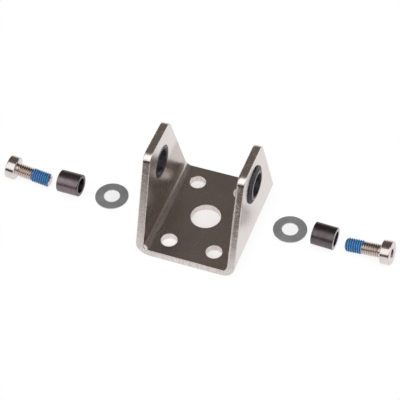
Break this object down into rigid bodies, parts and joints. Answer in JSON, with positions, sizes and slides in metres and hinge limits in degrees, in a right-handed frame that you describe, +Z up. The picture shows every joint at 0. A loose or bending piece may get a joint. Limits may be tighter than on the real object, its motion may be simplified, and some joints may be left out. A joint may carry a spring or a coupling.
{
  "type": "trunnion bracket with pivot pins",
  "caption": "Bent plate bracket with tapered lugs and flanged bushes, with its pivot sleeves, washers and socket screws laid out beside it.",
  "frame": {"origin": "centre of the base's centre hole, on the underside of the base", "axes": "+X along the pivot line towards the right lug, +Y across it away from the front, +Z up out of the base between the lugs"},
  "size_m": [0.1427, 0.0424, 0.0366],
  "materials": {
    "plated_steel": "bright nickel plate over rolled steel",
    "black_bush": "satin black bearing plastic",
    "grey_washer": "matt grey",
    "blackened_steel": "burnished black, satin",
    "screw_steel": "bright nickel plate",
    "blue_patch": "dry thread-locking patch"
  },
  "bodies": {
    "root": {"bracket": "plated_steel", "bush_left": "black_bush", "bush_right": "black_bush", "washer_left": "grey_washer", "washer_right": "grey_washer", "sleeve_left": "blackened_steel", "sleeve_right": "blackened_steel", "screw_left": "screw_steel", "screw_right": "screw_steel"}
  },
  "joints": []
}
